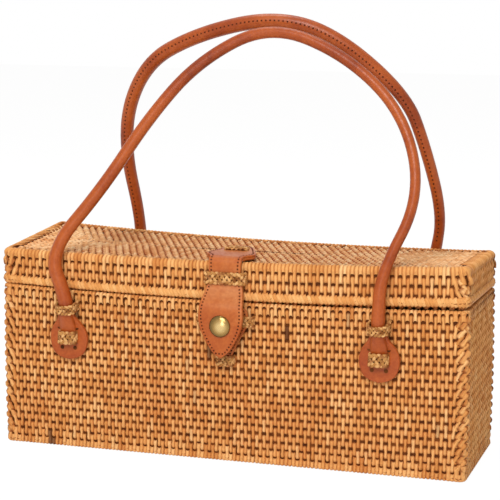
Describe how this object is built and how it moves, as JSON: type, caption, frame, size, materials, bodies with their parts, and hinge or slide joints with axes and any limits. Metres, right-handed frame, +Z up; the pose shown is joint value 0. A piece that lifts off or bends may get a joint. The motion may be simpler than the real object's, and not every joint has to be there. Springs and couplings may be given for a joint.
{
  "type": "handbag",
  "caption": "Oblong lidded handbag of coiled straw with upright rolled leather handles, a leather snap strap on the lid and braided hinge loops, for carrying small things by hand.",
  "frame": {"origin": "on the table under the middle of the basket", "axes": "+Z up, +X along the basket, the strap faces -Y"},
  "size_m": [0.32, 0.1276, 0.2954],
  "materials": {
    "straw": "coiled vine, satin",
    "braid": "braided vine, satin",
    "handle_leather": "smooth rolled leather",
    "strap_leather": "smooth stitched leather",
    "brass": "antique brass"
  },
  "bodies": {
    "basket": {"basket_body": "straw", "hinge_bands": "braid", "stud_tab": "strap_leather", "stud_tab_bands": "braid", "snap_stud": "brass", "front_left_tab": "handle_leather", "front_left_neck_ring": "braid", "front_left_tab_band": "braid", "front_right_tab": "handle_leather", "front_right_neck_ring": "braid", "front_right_tab_band": "braid", "back_left_tab": "handle_leather", "back_left_neck_ring": "braid", "back_left_tab_band": "braid", "back_right_tab": "handle_leather", "back_right_neck_ring": "braid", "back_right_tab_band": "braid"},
    "lid": {"lid_shell": "straw", "strap_head": "strap_leather", "head_band": "braid", "strap_keeper": "braid"},
    "strap": {"strap_tongue": "strap_leather", "snap_socket": "brass", "snap_cap": "brass"},
    "front_handle": {"front_handle": "handle_leather"},
    "back_handle": {"back_handle": "handle_leather"}
  },
  "joints": [
    {"name": "lid_hinge", "type": "hinge", "parent": "basket", "child": "lid", "pos_m": [0, 0.0493, 0.11115], "axis": [-1, 0, 0], "range_deg": [0, 95]},
    {"name": "strap_flap", "type": "hinge", "parent": "lid", "child": "strap", "pos_m": [0, -0.0509, 0.1181], "axis": [-1, 0, 0], "range_deg": [0, 50]},
    {"name": "front_handle_swing", "type": "hinge", "parent": "basket", "child": "front_handle", "pos_m": [0, -0.0561, 0.106], "axis": [1, 0, 0], "range_deg": [0, 90]},
    {"name": "back_handle_swing", "type": "hinge", "parent": "basket", "child": "back_handle", "pos_m": [0, 0.0561, 0.106], "axis": [-1, 0, 0], "range_deg": [0, 95]}
  ],
  "couplings": [
    {"joint": "back_handle_swing", "follows": "lid_hinge", "ratio": 1}
  ]
}
